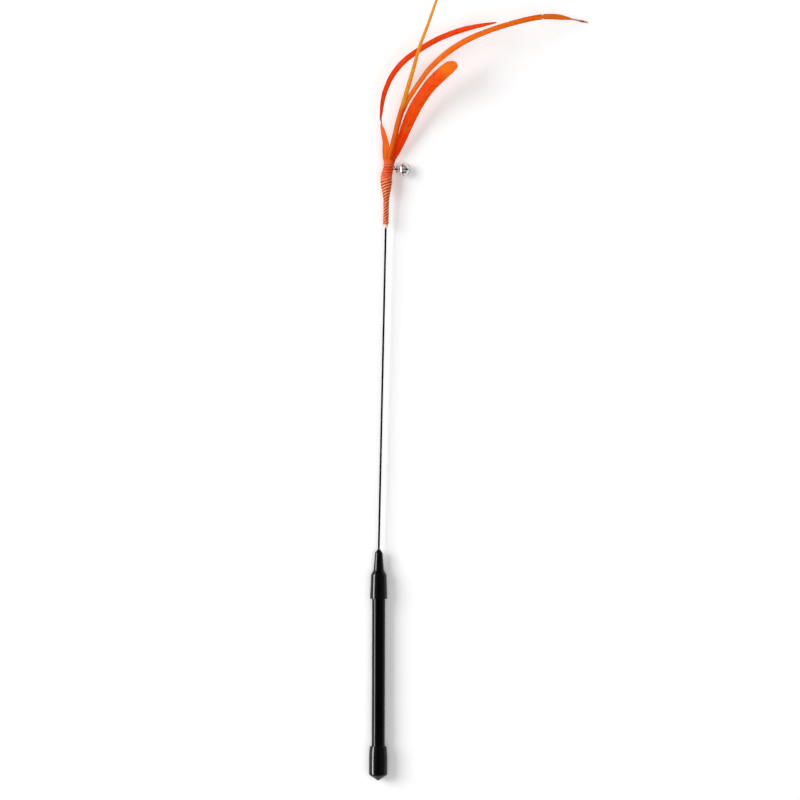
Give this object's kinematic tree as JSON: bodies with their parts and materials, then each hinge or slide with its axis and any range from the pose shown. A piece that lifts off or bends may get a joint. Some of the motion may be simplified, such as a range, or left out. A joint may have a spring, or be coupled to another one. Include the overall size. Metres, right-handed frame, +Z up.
{
  "type": "cat teaser wand",
  "caption": "Hand-held cat teaser: a grip handle and springy rod with dyed feathers bound to its end and a small jingle bell that swings and rattles.",
  "frame": {"origin": "on the handle's axis, where the butt cap's straight barrel begins", "axes": "+Y along the wand from the butt cap to the feathers, +X to the right as pictured, +Z up from the floor the wand lies on"},
  "size_m": [0.1731, 0.6391, 0.0437],
  "materials": {
    "tube_black": "smooth, satin gloss",
    "soft_black": "soft moulded rubber, semi-gloss",
    "plug_grey": "plain moulded, hidden",
    "rod_black": "drawn glass-fibre rod with a black gloss skin",
    "clear_glue": "set clear glue, cloudy at the bead",
    "thread_orange": "wound orange thread, faintly waxed",
    "feather_orange": "dyed feather, silky, dark at the vane's edges",
    "feather_tan": "dyed feather, thin, tan to orange",
    "feather_red": "dyed feather, silky, red-orange with yellow mottling",
    "tie_red": "dark red thread",
    "wire_silver": "plated wire",
    "bell_silver": "pressed sheet, bright nickel plating",
    "pea_steel": "plain steel ball"
  },
  "bodies": {
    "root": {"grip_tube": "tube_black", "butt_cap": "soft_black", "neck_boot": "soft_black", "rod_plug": "plug_grey", "rod": "rod_black", "glue_core": "clear_glue", "binding_thread": "thread_orange", "feather_arching": "feather_orange", "feather_spike": "feather_tan", "feather_sweeping": "feather_orange", "feather_plume": "feather_red", "bell_tie": "tie_red"},
    "ring": {"jump_ring": "wire_silver"},
    "bell": {"bell_dome": "bell_silver", "bell_cup": "bell_silver", "bell_eye": "wire_silver"},
    "pea": {"bell_pea": "pea_steel"}
  },
  "joints": [
    {"name": "ring_swing", "type": "hinge", "parent": "root", "child": "ring", "pos_m": [0.01351, 0.4812, 0.00314], "axis": [0, -1, 0], "range_deg": [-35, 80]},
    {"name": "bell_swing", "type": "hinge", "parent": "ring", "child": "bell", "pos_m": [0.01351, 0.4812, -0.00286], "axis": [0, -1, 0], "range_deg": [-110, 3]},
    {"name": "pea_roll", "type": "hinge", "parent": "bell", "child": "pea", "pos_m": [0.01904, 0.4812, -0.00065], "axis": [0, -1, 0], "continuous": true}
  ]
}
